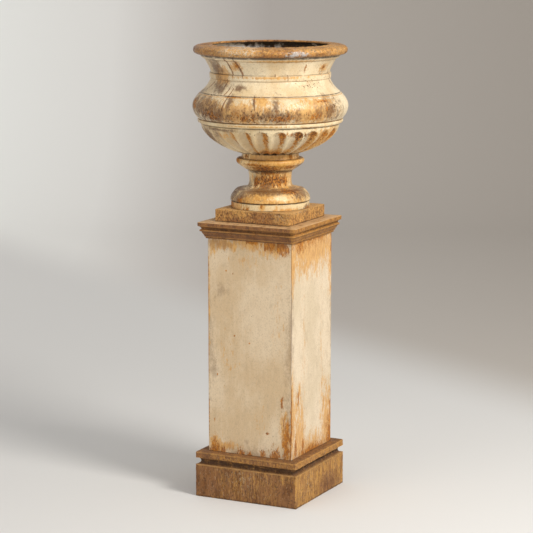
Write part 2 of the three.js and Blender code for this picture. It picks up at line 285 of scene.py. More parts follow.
def spin(mesh, outline, corner, steps):
    """Turns a closed outline of (distance, height) about Z. corner is the way the outline stands out.
    Where the steps allow it, one sector is spun and then copied round, which is far quicker."""
    sectors = SECTORS if steps % SECTORS == 0 else 1
    verts = [mesh.verts.new((corner[0] * r * MM, corner[1] * r * MM, z * MM)) for r, z in outline]
    closed = verts[1:] + verts[:1]
    on_axis = {v for v in verts if v.co.xy.length < TINY}
    edges = [mesh.edges.new(pair) for pair in zip(verts, closed) if not on_axis.issuperset(pair)]
    bmesh.ops.spin(mesh, geom=verts + edges, axis=(0, 0, 1), cent=(0, 0, 0), angle=math.tau / sectors,
                   steps=steps // sectors, use_merge=sectors == 1)
    sector = mesh.verts[:] + mesh.edges[:] + mesh.faces[:]
    for i in range(1, sectors):
        copied = bmesh.ops.duplicate(mesh, geom=sector)["geom"]
        bmesh.ops.rotate(mesh, verts=[g for g in copied if isinstance(g, bmesh.types.BMVert)],
                         cent=(0, 0, 0), matrix=Matrix.Rotation(math.tau * i / sectors, 3, "Z"))
    bmesh.ops.remove_doubles(mesh, verts=mesh.verts, dist=10 * TINY)
    bmesh.ops.recalc_face_normals(mesh, faces=mesh.faces)


def round_shape(outline, steps):
    mesh = bmesh.new()
    spin(mesh, outline, (0, -1), steps)
    return mesh


def square_shape(outline, spacing, edge_radius):
    """A square plan: the outline's distances are half widths. Its outer corners are rounded, and its long
    level edges are divided at the spacing, so that the surface can be weathered."""
    mesh = bmesh.new()
    spin(mesh, outline, (1, -1), 4)
    widest = max(r for r, z in outline) * MM

    def at_corner(v):
        return abs(abs(v.co.x) - abs(v.co.y)) < TINY and abs(v.co.x) > 0.85 * widest

    def is_mitre(e):
        first, second = e.verts
        within = e.calc_length() < 1.2 * widest and (first.co.xy - second.co.xy).length < widest
        return at_corner(first) and at_corner(second) and within

    def is_long(e):
        run = e.verts[0].co - e.verts[1].co
        level = abs(run.z) < TINY and min(abs(run.x), abs(run.y)) < 100 * TINY
        return level and e.calc_length() > 0.5 * widest

    bmesh.ops.bevel(mesh, geom=[e for e in mesh.edges if is_mitre(e)], offset=edge_radius * MM, segments=2,
                    profile=0.5, affect="EDGES", material=-1, clamp_overlap=True)
    bmesh.ops.subdivide_edges(mesh, edges=[e for e in mesh.edges if is_long(e)],
                              cuts=round(2 * widest / MM / spacing), use_grid_fill=True)
    return mesh


# How large the lumps of weathering are, in millimetres.
WAVE_SIZE = 90
CHIP_SIZE = 14
GRAIN_SIZE = 3.1


def weather(mesh, wave, pit, pit_size, chip, seed):
    """Sinks the surface inwards by lumpy amounts in millimetres: long waves, pits, and chips along its
    edges. The "edge" layer is 1 along sharp edges and 0 on flat ground."""
    layer = mesh.verts.layers.float.new("edge")
    mesh.normal_update()
    offset = Vector((seed, seed, seed))
    moves = []
    for v in mesh.verts:
        sharp = min(max(v.calc_shell_factor() - 1.02, 0) * 4, 1) if v.link_faces else 0
        v[layer] = sharp
        place = v.co / MM
        sink = wave * (0.5 + 0.5 * noise.noise(place / WAVE_SIZE + offset))
        sink += pit * max(0, noise.noise(place / pit_size + offset) + 0.1) * 2
        sink += pit * 0.5 * (0.5 + 0.5 * noise.noise(place / GRAIN_SIZE - offset))
        sink += sharp * chip * max(0, noise.noise(place / CHIP_SIZE - offset))
        moves.append(v.normal * -sink * MM)
    for v, move in zip(mesh.verts, moves):
        v.co += move


def as_object(name, mesh):
    data = bpy.data.meshes.new(name)
    mesh.to_mesh(data)
    mesh.free()
    made = bpy.data.objects.new(name, data)
    bpy.context.scene.collection.objects.link(made)
    return made


def finished(name, mesh, finish):
    """The mesh as a smooth object of that finish."""
    made = as_object(name, mesh)
    data = made.data
    data.polygons.foreach_set("use_smooth", [True] * len(data.polygons))
    data.materials.append(finish)
    return made


def piece(name, mesh, node, finish, body):
    mesh.normal_update()
    made = finished(name, mesh, finish)
    made.data.set_sharp_from_angle(angle=SHARP_ANGLE)
    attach(made, body)
    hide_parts(node)


def combine(mesh, other, operation="DIFFERENCE"):
    """Cuts the other mesh's closed shapes from the mesh, or joins them to it with "UNION"."""
    whole = as_object("whole", mesh)
    tool = as_object("tool", other)
    step = whole.modifiers.new("combine", "BOOLEAN")
    step.operation = operation
    step.object = tool
    depsgraph = bpy.context.evaluated_depsgraph_get()
    result = bmesh.new()
    result.from_mesh(whole.evaluated_get(depsgraph).to_mesh())
    for done in (whole, tool):
        bpy.data.objects.remove(done)
    return result


ROD_SIDES = 32


def rods(places, radius, low, high):
    """Upright round cutters at the (x, y) places, in millimetres."""
    mesh = bmesh.new()
    for x, y in places:
        made = bmesh.ops.create_cone(mesh, cap_ends=True, segments=ROD_SIDES, radius1=radius * MM,
                                     radius2=radius * MM, depth=(high - low) * MM)
        bmesh.ops.translate(mesh, verts=made["verts"], vec=(x * MM, y * MM, (low + high) / 2 * MM))
    return mesh


# ---- Finishes ------------------------------------------------------------------------

def bearing_spot(bearing, radius, height):
    """A point on a round piece: bearing in degrees from the front towards the right, the rest in mm."""
    turn = math.radians(bearing - 90)
    return Vector((radius * math.cos(turn), radius * math.sin(turn), height)) * MM


def patches(f, spots):
    """spots: (centre in metres, half width, half height in mm) of soft patches."""
    return f.most([f.patch(place, (wide * MM, wide * MM, tall * MM)) for place, wide, tall in spots])


def blend_layers(f, coat, layers):
    """Each layer is (mask, tint, strength)."""
    for mask, tint, strength in layers:
        coat = f.mix(f.maths("MULTIPLY", mask, strength), coat, tint)
    return coat


def two_tone(f, first, second, size, stretch=1.5, seed=0.0):
    return f.mix(f.mask(f.cloud(size, stretch, 6, 0.65, seed=seed), 0.40, 0.60), first, second)


def cream_coat(f, light, deep, brushing, seed):
    """Old cream paint: broad tonal clouds, brushed upright lights, and a fine grimy speckle."""
    coat = f.mix(f.mask(f.cloud(0.11, 1.5, 5, seed=seed), 0.38, 0.62), light, deep)
    brushed = f.mask(f.cloud(0.007, 12, 4, 0.6, seed=seed + 3), 0.48, 0.70)
    speckle = f.mask(f.cloud(0.0036, 1.4, 4, 0.75, seed=seed + 5), 0.48, 0.66)
    smudge = f.mask(f.cloud(0.026, 1.8, 6, 0.7, seed=seed + 9), 0.50, 0.74)
    return blend_layers(f, coat, [
        (brushed, PALE_CREAM, brushing), (smudge, DUST, 0.40), (speckle, DUST, 0.45)])


def marked(f, marks, lifts, place):
    """Fields for weathered_paint. marks: kind to a list of marks, the last two numbers of each being its
    half width and half height in mm, and the others what place() needs to find its centre. Marks of
    "haze" add a little gold, and marks of "calm" hold back the gold, rust and pits."""
    fields = {}
    for kind, spots in marks.items():
        field = patches(f, [(place(*spot[:-2]), *spot[-2:]) for spot in spots])
        fields[kind] = [(field, lifts[kind])]
    if "rust" in fields:
        fields.setdefault("pits", []).append((fields["rust"][0][0], lifts["pits"] / 2))
    fields.setdefault("gold", []).extend(fields.pop("haze", []))
    calm = fields.pop("calm", [])
    for kind in ("gold", "rust", "pits"):
        fields.setdefault(kind, []).extend(calm)
    return fields


def weathered_paint(f, coat, amounts, fields, seed, gloss, depth, grime):
    """Paint with stains, rust, dark pits and cracks.

    amounts: gold, rust, pits and soot, each the level that its noise is raised by all over: -0.2 gives
    next to none, and 0.1 covers most of the surface. fields: the same names, and crack, to (field, amount)
    pairs. grime is how strongly soot shows.
    """

    def spread(kind, pattern, low, high):
        return f.mask(f.lifted(pattern, amounts[kind], *fields.get(kind, [])), low, high)

    soot = spread("soot", f.ragged(0.022, 1.6, seed + 2), 0.43, 0.66)
    gold = spread("gold", f.ragged(0.0085, 3.6, seed + 11), 0.45, 0.60)
    rust = spread("rust", f.ragged(0.0070, 3.0, seed + 23), 0.48, 0.57)
    pits = spread("pits", f.cloud(0.0046, 1.5, 4, 0.65, seed=seed + 31), 0.50, 0.60)
    layers = [
        (gold, two_tone(f, GOLD, OCHRE, 0.007, 3, seed + 41), 0.75),
        (soot, two_tone(f, SOOT, UMBER, 0.006, seed=seed + 43), grime),
        (rust, two_tone(f, ORANGE, RUST, 0.006, 2, seed + 47), 0.88),
        (pits, two_tone(f, UMBER, BARK, 0.009, seed=seed + 53), 0.85)]
    if "crack" in fields:
        veins = f.lifted(f.cloud(0.007, 1.5, 4, 0.7, seed=seed + 37), -0.26, *fields["crack"])
        cracks = f.mask(veins, 0.42, 0.58)
        layers.append((cracks, two_tone(f, UMBER, RUST, 0.012, seed=seed + 59), 0.80))
    colours = blend_layers(f, coat, layers)
    worn = f.maths("MAXIMUM", rust, pits)
    roughness = f.add("ShaderNodeMapRange", {"Value": worn, "To Min": gloss, "To Max": 0.85}).outputs[0]
    grain = f.maths("MULTIPLY", f.cloud(0.004, 1, 3, 0.6), 0.35)
    sunk = f.maths("MULTIPLY", pits, -0.7)
    scabbed = f.maths("MULTIPLY", f.maths("MULTIPLY", rust, f.cloud(0.005, 1, 4, 0.7)), 0.8)
    height = f.maths("ADD", f.maths("ADD", grain, sunk), scabbed)
    return colours, roughness, height, depth


def bands(f, coat, levels, seed):
    """Level lines broken up by noise: (height, half thickness, tint, strength). Callers lay rust, painted
    shade and painted highlights with them.
    """
    broken = f.mask(f.cloud(0.02, 1, 5, 0.65, seed=seed), 0.30, 0.52)
    for height, half, tint, strength in levels:
        line = f.maths("MULTIPLY", f.line(height, half), broken)
        coat = f.mix(f.maths("MULTIPLY", line, strength), coat, tint)
    return coat


def bare_rust(f, browns, run_lift, fleck_lift, seed, gloss, stretch, levels=(), edge=0.5, speckle=0.0):
    """Iron rusted right through.

    browns: the dark and middle grounds and the bright runs of ochre. Over them go upright grain, flecks of
    paint that is nearly gone, dark specks, level lines for bands, and gold along the edges, partly rubbed
    wear and partly painted highlight. run_lift and fleck_lift: the level that the runs and the flecks are
    raised by all over, then (field, amount) pairs.
    speckle raises how many dark specks there are: 0.05 nearly doubles them.
    """
    dark, mid, bright = browns
    ground = two_tone(f, dark, mid, 0.024, 2.5, seed)
    grain = f.mask(f.cloud(0.0036, min(stretch, 3), 5, 0.75, seed=seed + 3), 0.44, 0.60)
    fibres = f.mask(f.lifted(f.cloud(0.0034, stretch * 1.5, 4, 0.7, seed=seed + 9), *run_lift), 0.42, 0.56)
    runs = f.mask(f.lifted(f.ragged(0.010, stretch, seed + 7), *run_lift), 0.46, 0.59)
    flecks = f.mask(f.lifted(f.cloud(0.005, 1.6, 5, 0.7, seed=seed + 13), *fleck_lift), 0.50, 0.66)
    specks = f.mask(f.lifted(f.cloud(0.0042, 1.7, 4, 0.65, seed=seed + 19), speckle), 0.55, 0.65)
    # Gold is laid along the edges: partly rubbed wear, partly painted highlights where the edges catch the
    # light.
    rubbing_and_glint = f.mask(f.cloud(0.012, 1, 5, 0.7, seed=seed + 29), 0.38, 0.60)
    rubbed_and_highlit = f.maths("MULTIPLY", f.layer("edge"), rubbing_and_glint)
    colours = blend_layers(f, ground, [
        (grain, mid, 0.50), (fibres, bright, 0.40), (runs, bright, 0.65), (flecks, DUST, 0.60),
        (specks, BARK, 0.62), (rubbed_and_highlit, GOLD, edge)])
    colours = bands(f, colours, levels, seed + 31)
    roughness = f.add("ShaderNodeMapRange", {
        "Value": f.cloud(0.02, 2, 3), "From Min": 0.35, "From Max": 0.65,
        "To Min": gloss - 0.12, "To Max": gloss + 0.15}).outputs[0]
    height = f.maths("SUBTRACT", f.cloud(0.005, 1.2, 5, 0.7, seed=seed), f.maths("MULTIPLY", specks, 0.5))
    return colours, roughness, height, 0.0013


# Where each die panel is marked: (distance from its left edge, height above its foot, half width,
# half height) in millimetres, seen from outside.
PANEL_MARKS = {
    "front": {
        "haze": [(238, 400, 40, 170), (172, 105, 30, 90), (70, 300, 60, 120), (120, 600, 90, 60)],
        "gold": [(20, 640, 30, 60), (60, 642, 80, 30), (150, 650, 110, 34), (220, 636, 70, 44),
                 (0, 420, 10, 300), (262, 70, 36, 130), (28, 14, 44, 70), (60, 20, 70, 26)],
        "rust": [(20, 0, 32, 80), (50, 0, 20, 36), (112, 0, 24, 44), (140, 0, 14, 26), (184, 0, 16, 52),
                 (226, 0, 30, 66), (262, 50, 26, 130), (206, 644, 46, 30), (250, 640, 44, 44),
                 (150, 652, 40, 16), (0, 560, 6, 130), (0, 330, 5, 220), (0, 100, 6, 150),
                 (280, 40, 12, 180), (248, 172, 10, 40), (22, 100, 6, 14), (200, 74, 12, 7),
                 (62, 560, 5, 5), (84, 552, 5, 5), (90, 364, 5, 5), (32, 240, 5, 7), (140, 345, 6, 6)],
        "soot": [(282, 330, 40, 290), (40, 640, 90, 44), (280, 110, 50, 180), (0, 320, 40, 260),
                 (44, 500, 40, 40), (150, 0, 180, 50), (240, 648, 70, 30), (130, 40, 16, 16),
                 (20, 250, 30, 60)],
    },
    "right": {
        "haze": [(140, 640, 240, 180), (90, 330, 40, 260), (210, 330, 30, 300)],
        "gold": [(140, 660, 280, 150), (284, 580, 50, 240), (0, 600, 50, 190), (9, 120, 30, 250),
                 (60, 50, 60, 190), (250, 60, 70, 210), (140, 0, 200, 90), (34, 170, 16, 60),
                 (56, 200, 14, 44)],
        "rust": [(150, 680, 220, 84), (60, 660, 90, 70), (280, 60, 24, 220), (272, 20, 50, 120),
                 (0, 110, 15, 190), (140, 0, 160, 40), (48, 180, 12, 50), (282, 610, 20, 90),
                 (30, 30, 16, 70), (80, 20, 14, 80)],
        "soot": [(0, 400, 30, 240), (280, 360, 20, 240)],
    },
    "back": {
        "gold": [(80, 654, 170, 60), (200, 60, 80, 140), (0, 300, 14, 200)],
        "rust": [(60, 654, 90, 36), (240, 10, 60, 70), (120, 0, 50, 40), (0, 90, 8, 120), (280, 560, 8, 90)],
        "soot": [(0, 350, 40, 300), (280, 560, 70, 90), (140, 0, 170, 50)],
    },
    "left": {
        "gold": [(200, 654, 150, 70), (30, 60, 70, 180), (280, 380, 16, 200)],
        "rust": [(230, 654, 80, 44), (20, 10, 60, 90), (150, 0, 60, 36), (280, 120, 10, 140)],
        "soot": [(280, 330, 40, 300), (40, 620, 100, 50), (150, 0, 170, 50)],
    },
}
PANEL_LIFTS = {"gold": 0.34, "rust": 0.36, "soot": 0.30, "pits": 0.16, "haze": 0.12}
PANEL_COATS = {
    "front": (colour("#e0c9a8"), colour("#d1b58e"), 0.10),
    "right": (colour("#e3d0b4"), colour("#d6c3a5"), 0.16),
    "back": (colour("#e6d2ae"), colour("#d2b68e"), 0.14),
    "left": (colour("#e1cba4"), colour("#cdb087"), 0.12),
}


def panel_finish(side, seed):
    low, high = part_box("panel_front")
    half = -low.y / MM

    def on_panel(across, up):
        x, y = {"front": (across - half, -half), "right": (half, across - half),
                "back": (half - across, half), "left": (-half, half - across)}[side]
        return Vector((x, y, low.z / MM + up)) * MM

    f = Finish(f"panel_paint_{side}")
    fields = marked(f, PANEL_MARKS[side], PANEL_LIFTS, on_panel)
    light, deep, brushing = PANEL_COATS[side]
    coat = cream_coat(f, light, deep, brushing, seed)
    amounts = {"gold": -0.15, "rust": -0.17, "pits": -0.16, "soot": -0.14}
    look = weathered_paint(f, coat, amounts, fields, seed, gloss=0.62, depth=0.0008, grime=0.36)
    return f.finish(*look)


BOWL_LIFTS = {"gold": 0.30, "rust": 0.27, "soot": 0.32, "pits": 0.13, "crack": 0.80, "haze": 0.14,
              "calm": -0.20}
CRACK_STEPS = 5


def crack(start, end, half):
    """Overlapping marks along a crack between two (bearing, height) points, its half width given in mm."""
    tall = abs(end[1] - start[1]) / 3
    steps = [(i / CRACK_STEPS, 1 - i / CRACK_STEPS) for i in range(CRACK_STEPS + 1)]
    return [(start[0] * back + end[0] * on, start[1] * back + end[1] * on, half, tall) for on, back in steps]


def bowl_finish(name, node, light, deep, amounts, marks, seed, levels, fluted=False):
    """marks: kind to a list of (bearing, height, half width, half height)."""
    f = Finish(name)
    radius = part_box(node)[1].x / MM
    f.unroll(radius * MM)
    fields = marked(f, marks, BOWL_LIFTS, lambda bearing, height: bearing_spot(bearing, radius, height))
    coat = cream_coat(f, light, deep, 0.14, seed)
    if fluted:
        # The hollows are painted grey-beige towards their middles.
        coat = f.mix(f.maths("MULTIPLY", f.layer("hollow"), 0.55), coat, DUST)
        # The flutes' right-hand walls face away from the key light: the rust, stain and pits added there are
        # partly real and partly painted shade.
        lee = f.layer("lee")
        for kind, share in (("rust", 0.33), ("gold", 0.34), ("pits", 0.14)):
            fields.setdefault(kind, []).append((lee, share))
    colours, roughness, height, depth = weathered_paint(
        f, coat, amounts, fields, seed, gloss=0.42, depth=0.0010, grime=0.82)
    return f.finish(bands(f, colours, levels, seed + 61), roughness, height, depth)


# ---- Pedestal ------------------------------------------------------------------------

# The tie bolts: how far they stand from the middle both ways, and the radii of the bosses under them, of
# the sinks for their heads and of their holes, in mm.
TIE_PITCH = 98
TIE_PLACES = [(x, y) for x in (-TIE_PITCH, TIE_PITCH) for y in (-TIE_PITCH, TIE_PITCH)]
TIE_BOSS_RADIUS = 18
TIE_HEAD_RADIUS = 14
TIE_HOLE_RADIUS = 6.5
PANEL_THICKNESS = 10


def lit_face(f, reach):
    """1 on the face that looks to the right, at that half width in mm, which the key light strikes: the
    brighter rust runs raised there are painted light. It begins a little inside the face, because weathering
    has sunk the surface."""
    return f.mask(f.axis("X"), (reach - 4) * MM, (reach - 1) * MM)


def make_block():
    outline = trace(
        (170, 0), [(170, 100)], [(158, 101), (158, 110)], COARSE, [(0, 110)], [(0, 98)], [(146, 98)],
        [(158, 88)], [(158, 0)])
    mesh = square_shape(outline, spacing=2.6, edge_radius=2.5)
    weather(mesh, wave=0.9, pit=0.35, pit_size=9, chip=2.2, seed=3)
    f = Finish("plinth_rust")
    browns = (colour("#6e441f"), colour("#8e6036"), colour("#cf9a4c"))
    left_end = patches(f, [(Vector((-0.13, -0.17, 0.05)), 60, 70), (Vector((0.14, -0.17, 0.03)), 36, 60)])
    flecked = patches(f, [(Vector((0.0, -0.17, 0.075)), 80, 50), (Vector((0.17, -0.08, 0.07)), 40, 60)])
    far_end = patches(f, [(Vector((0.17, 0.06, 0.02)), 90, 50)])
    # The dark band in the groove under the slab is a painted shadow, the dark line along the foot is painted
    # shade, and the pale line along the block's top edge is a painted highlight.
    levels = [(109, 11, BARK, 0.80), (2, 4, COAL, 0.5), (99, 2.5, colour("#b98d55"), 0.55)]
    # On the right-hand face the bright runs are raised as painted light.
    look = bare_rust(
        f, browns, run_lift=(-0.06, (lit_face(f, 170), 0.08), (left_end, -0.14), (far_end, -0.16)),
        fleck_lift=(-0.06, (flecked, 0.09)), seed=2, gloss=0.78, stretch=6, levels=levels, edge=0.45)
    piece("block", mesh, "plinth_block", f.finish(*look), "pedestal")


def make_slab():
    outline = trace(
        (158, 110), [(158, 119), (169.5, 120)], [(169.5, 138)], [(167.5, 140)], COARSE, [(0, 140)],
        [(0, 128)], [(146, 128)], [(146, 110)])
    mesh = square_shape(outline, spacing=2.6, edge_radius=2.0)
    weather(mesh, wave=0.8, pit=0.35, pit_size=8, chip=2.0, seed=8)
    f = Finish("slab_rust")
    browns = (colour("#6a4223"), colour("#8c5d31"), colour("#c48c3f"))
    left_end = patches(f, [(Vector((-0.15, -0.17, 0.13)), 50, 30)])
    # The dark band along the slab's underside, over the groove, is a painted shadow.
    levels = [(112, 9, BARK, 0.85), (136.8, 2, colour("#c09050"), 0.45), (140, 2.4, colour("#5d3a20"), 0.5)]
    # On the right-hand face the bright runs are raised as painted light.
    look = bare_rust(
        f, browns, run_lift=(-0.03, (lit_face(f, 169.5), 0.07), (left_end, -0.10)), fleck_lift=(-0.05,),
        seed=21, gloss=0.72, stretch=1.6, levels=levels, edge=0.55)
    piece("slab", mesh, "base_slab", f.finish(*look), "pedestal")


def make_cornice():
    outline = trace(
        (145, 794), 1.3, [(145, 798.5)], [(147.5, 799.5)], [(148.5, 807), (153, 808), (153.5, 814.5)],
        [(156.5, 815.5)], [(159.5, 816.5), (159.5, 821.5), (156.5, 822.5)], [(154.5, 823.5)], [(155, 826)],
        [(157, 830), (161, 831)], [(163, 832.5)], [(163, 843)], [(162, 844)], COARSE, [(0, 844)], [(0, 832)],
        [(140, 832)], [(130, 804)], [(130, 794)])
    mesh = square_shape(outline, spacing=2.6, edge_radius=1.2)
    mesh = combine(mesh, rods(TIE_PLACES, TIE_BOSS_RADIUS, 820, 833), "UNION")
    mesh = combine(mesh, rods(TIE_PLACES, TIE_HEAD_RADIUS, 832, 850))
    mesh = combine(mesh, rods(TIE_PLACES, TIE_HOLE_RADIUS, 810, 850))
    weather(mesh, wave=0.5, pit=0.3, pit_size=8, chip=1.4, seed=15)
    f = Finish("cornice_rust")
    browns = (colour("#6a401e"), colour("#8c5a2b"), colour("#c48a3b"))
    # The lines of gilt tint along the moulding edges are painted highlights, and the dark lines in the
    # recesses and the cove are painted shade.
    highlight_tint = colour("#c48f4a")
    levels = [(844, 2.4, colour("#cea777"), 0.85), (832, 2.2, highlight_tint, 0.55), (825, 3.2, BARK, 0.60),
              (819, 2.4, highlight_tint, 0.65), (814.5, 2.0, BARK, 0.55), (799.5, 1.8, highlight_tint, 0.55),
              (795, 2.5, UMBER, 0.6), (804, 4, UMBER, 0.45)]
    # On the right-hand face the bright runs are raised as painted light.
    look = bare_rust(
        f, browns, run_lift=(-0.10, (lit_face(f, 146), 0.13)), fleck_lift=(-0.10,), seed=33, gloss=0.55,
        stretch=1.3, levels=levels, edge=0.6)
    piece("cornice_moulding", mesh, "cornice", f.finish(*look), "pedestal")


def make_panel(side, turn, seed):
    """A flat iron sheet, mitred at its upright edges. It is made at the front and turned to its side in
    degrees."""
    low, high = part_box("panel_front")
    thick = PANEL_THICKNESS * MM
    mesh = bmesh.new()
    bmesh.ops.create_cube(mesh, size=1)
    bmesh.ops.scale(mesh, verts=mesh.verts, vec=(high.x - low.x, thick, high.z - low.z))
    bmesh.ops.translate(mesh, verts=mesh.verts, vec=(0, low.y + thick / 2, (low.z + high.z) / 2))
    for v in mesh.verts:
        if v.co.y > low.y + thick / 2:
            v.co.x -= math.copysign(thick, v.co.x)
    corners = [e for e in mesh.edges if e.verts[0].co.xy == e.verts[1].co.xy and e.verts[0].co.y < low.y + MM]
    bmesh.ops.bevel(mesh, geom=corners, offset=1.6 * MM, segments=3, profile=0.5, affect="EDGES", material=-1)
    for axis, spacing in ((0, 3.2 * MM), (2, 3.4 * MM)):
        long = [e for e in mesh.edges if abs(e.verts[0].co[axis] - e.verts[1].co[axis]) > 0.2]
        length = long[0].calc_length()
        bmesh.ops.subdivide_edges(mesh, edges=long, cuts=round(length / spacing), use_grid_fill=True)
    bmesh.ops.rotate(mesh, verts=mesh.verts, cent=(0, 0, 0),
                     matrix=Matrix.Rotation(math.radians(turn), 3, "Z"))
    weather(mesh, wave=0.8, pit=0.10, pit_size=14, chip=0.5, seed=seed)
    piece(f"sheet_{side}", mesh, f"panel_{side}", panel_finish(side, seed), "pedestal")


# ---- Urn -----------------------------------------------------------------------------

# The drains through the urn's foot and bowl stand round the bore for the centre bolt.
DRAIN_PITCH = 24
DRAIN_PLACES = [(x, y) for x in (-DRAIN_PITCH, DRAIN_PITCH) for y in (-DRAIN_PITCH, DRAIN_PITCH)]
DRAIN_RADIUS = 6
BORE = 8.5
RIM_RADIUS = 231.3
# The flutes: how many, how far round the first ridge is, how wide and deep each hollow is as a share of
# the space it has, and the height where they end.
FLUTES = 24
FLUTE_TURN = math.radians(26.67)
FLUTE_SHARE = 0.84
FLUTE_DEPTH = 0.17
FLUTE_TOP = 1127


def make_urn_base():
    outline = trace(
        (123.5, 844), 1.5, [(123.5, 880)], [(121.5, 882)], COARSE, [(0, 882)], [(0, 872)], [(113.5, 872)],
        [(113.5, 844)])
    mesh = combine(square_shape(outline, spacing=2.0, edge_radius=1.5), rods([(0, 0)], BORE, 840, 890))
    mesh = combine(mesh, rods(DRAIN_PLACES, DRAIN_RADIUS, 840, 890))
    weather(mesh, wave=0.6, pit=0.3, pit_size=7, chip=1.6, seed=41)
    f = Finish("base_rust")
    browns = (colour("#7b4f2a"), colour("#a8743c"), colour("#e0ab5e"))
    middle = patches(f, [(Vector((0.03, -0.1235, 0.866)), 52, 60), (Vector((-0.05, -0.1235, 0.85)), 40, 12)])
    dotted = patches(f, [(Vector((0.095, -0.1235, 0.866)), 36, 40), (Vector((0.1235, -0.05, 0.88)), 70, 10)])
    levels = [(881, 2, colour("#c79a5e"), 0.6), (845, 3, BARK, 0.7)]
    look = bare_rust(
        f, browns, run_lift=(0.01, (middle, -0.16)), fleck_lift=(-0.05, (dotted, 0.11)), seed=47, gloss=0.7,
        stretch=1.8, levels=levels, edge=0.5, speckle=0.045)
    piece("square_foot", mesh, "urn_base", f.finish(*look), "urn")


def make_disc():
    outline = trace(
        (118.5, 882), 1.5, [(118.5, 900)], [(118.5, 902), (116.5, 902)], COARSE, [(BORE, 902)], [(BORE, 882)])
    mesh = combine(round_shape(outline, 360), rods(DRAIN_PLACES, DRAIN_RADIUS, 870, 910))
    weather(mesh, wave=0.5, pit=0.3, pit_size=7, chip=1.0, seed=52)
    finish = bowl_finish(
        "ring_paint", "foot_disc", colour("#f3e1bd"), colour("#e6cb9a"),
        {"gold": -0.10, "rust": -0.15, "pits": -0.17, "soot": -0.15},
        {"rust": [(-52, 890, 70, 34), (14, 895, 8, 14), (102, 884, 50, 14), (-12, 884, 26, 12)],
         "gold": [(-34, 890, 80, 40), (14, 892, 16, 24), (50, 884, 60, 8), (36, 890, 5, 20)],
         "soot": [(-64, 892, 70, 40), (95, 886, 60, 20)]},
        seed=57, levels=[(901.5, 2.2, BARK, 0.70), (883, 1.2, UMBER, 0.5)])
    piece("disc", mesh, "foot_disc", finish, "urn")


def make_socle():
    outline = trace(
        (115, 902), 1.7, [(121, 902), (121, 906)], [(121, 916), (111, 931), (102, 937.5)], [(99, 938)],
        [(71, 941), (66.4, 950)], [(63, 958), (63.5, 974), (65.5, 984)], [(66.5, 990), (68.5, 994)], COARSE,
        [(50, 994)], [(50, 902)], 5, [(115, 902)])[:-1]
    mesh = round_shape(outline, 360)
    weather(mesh, wave=0.6, pit=0.4, pit_size=7, chip=0.8, seed=61)
    finish = bowl_finish(
        "socle_paint", "socle", colour("#efd5a2"), colour("#d8ab67"),
        {"gold": -0.03, "rust": -0.10, "pits": -0.11, "soot": -0.08},
        {"rust": [(-22, 910, 22, 16), (60, 936, 60, 12), (26, 968, 140, 30),
                  (-15, 962, 34, 22), (70, 966, 30, 26), (26, 990, 110, 12)],
         "soot": [(-54, 926, 150, 50), (-70, 914, 120, 64), (88, 930, 66, 30), (26, 938, 240, 14),
                  (60, 968, 40, 24), (-14, 962, 40, 22), (14, 948, 60, 20)],
         "gold": [(26, 968, 150, 40), (20, 928, 90, 20), (30, 910, 60, 12), (-10, 912, 40, 16)],
         "pits": [(26, 966, 150, 36), (60, 924, 70, 24), (-60, 920, 110, 50)],
         "calm": [(40, 924, 60, 16)]},
        seed=67, levels=[(904, 2.2, BARK, 0.75), (938, 1.8, UMBER, 0.5), (992, 5, BARK, 0.65)])
    piece("torus_and_stem", mesh, "socle", finish, "urn")


def make_collar():
    outline = trace(
        (69, 994), 1.5, [(81, 1000), (96, 1012)], [(102, 1016), (103, 1023)], [(102, 1029), (98, 1030.5)],
        [(88, 1031.5)], [(85.5, 1038), (86, 1048)], COARSE, [(50, 1048)], [(50, 994)])
    mesh = round_shape(outline, 336)
    weather(mesh, wave=0.5, pit=0.4, pit_size=7, chip=0.8, seed=71)
    finish = bowl_finish(
        "collar_paint", "stem_collar", colour("#f2d298"), colour("#dcaa5c"),
        {"gold": -0.02, "rust": -0.12, "pits": -0.12, "soot": -0.14},
        {"rust": [(14, 1006, 90, 20), (-48, 1024, 44, 20), (72, 1040, 12, 16), (-30, 1040, 30, 12),
                  (0, 1016, 70, 9), (66, 1008, 40, 12)],
         "gold": [(50, 1028, 110, 30), (10, 1038, 70, 16)],
         "pits": [(14, 1006, 90, 18)],
         "soot": [(-60, 1030, 60, 34), (8, 1002, 90, 16), (100, 1010, 50, 18)]},
        seed=77, levels=[(996, 5, BARK, 0.75), (1031, 2.0, UMBER, 0.6), (1047, 3.5, COAL, 0.7)])
    piece("collar", mesh, "stem_collar", finish, "urn")


def carve_flutes(mesh):
    """Hollows the flutes in the bowl's outer side. They end in soft arches below the bead.
    The "hollow" layer is 1 along each flute's middle. The other layer is 1 high on each flute's right-hand
    wall, which faces away from the key light, and fades down it: the rust, stain and pits it brings are
    partly real and partly painted shade."""
    hollows = mesh.verts.layers.float.new("hollow")
    lee = mesh.verts.layers.float.new("lee")
    mesh.normal_update()
    foot = min(v.co.z for v in mesh.verts) / MM
    moves = []
    for v in mesh.verts:
        height = v.co.z / MM
        if v.normal.xy.dot(v.co.xy) > TINY and height < FLUTE_TOP:
            pitch = math.tau / FLUTES * v.co.xy.length
            turn = (math.atan2(v.co.x, -v.co.y) - FLUTE_TURN) / math.tau * FLUTES
            across = (turn % 1 - 0.5) * 2 / FLUTE_SHARE
            arch = max(0, 1 - (FLUTE_TOP - height) * MM / (pitch * FLUTE_SHARE / 2))
            inside = max(0, 1 - across ** 2 - arch ** 2)
            rise = (height - foot) / (FLUTE_TOP - foot)
            v[hollows] = inside ** 0.5
            v[lee] = v[hollows] * min(max(across * 2.2 + 0.3, 0), 1) * (0.35 + 0.65 * rise)
            moves.append((v, v.normal * -inside ** 0.75 * pitch * FLUTE_DEPTH))
    for v, move in moves:
        v.co += move


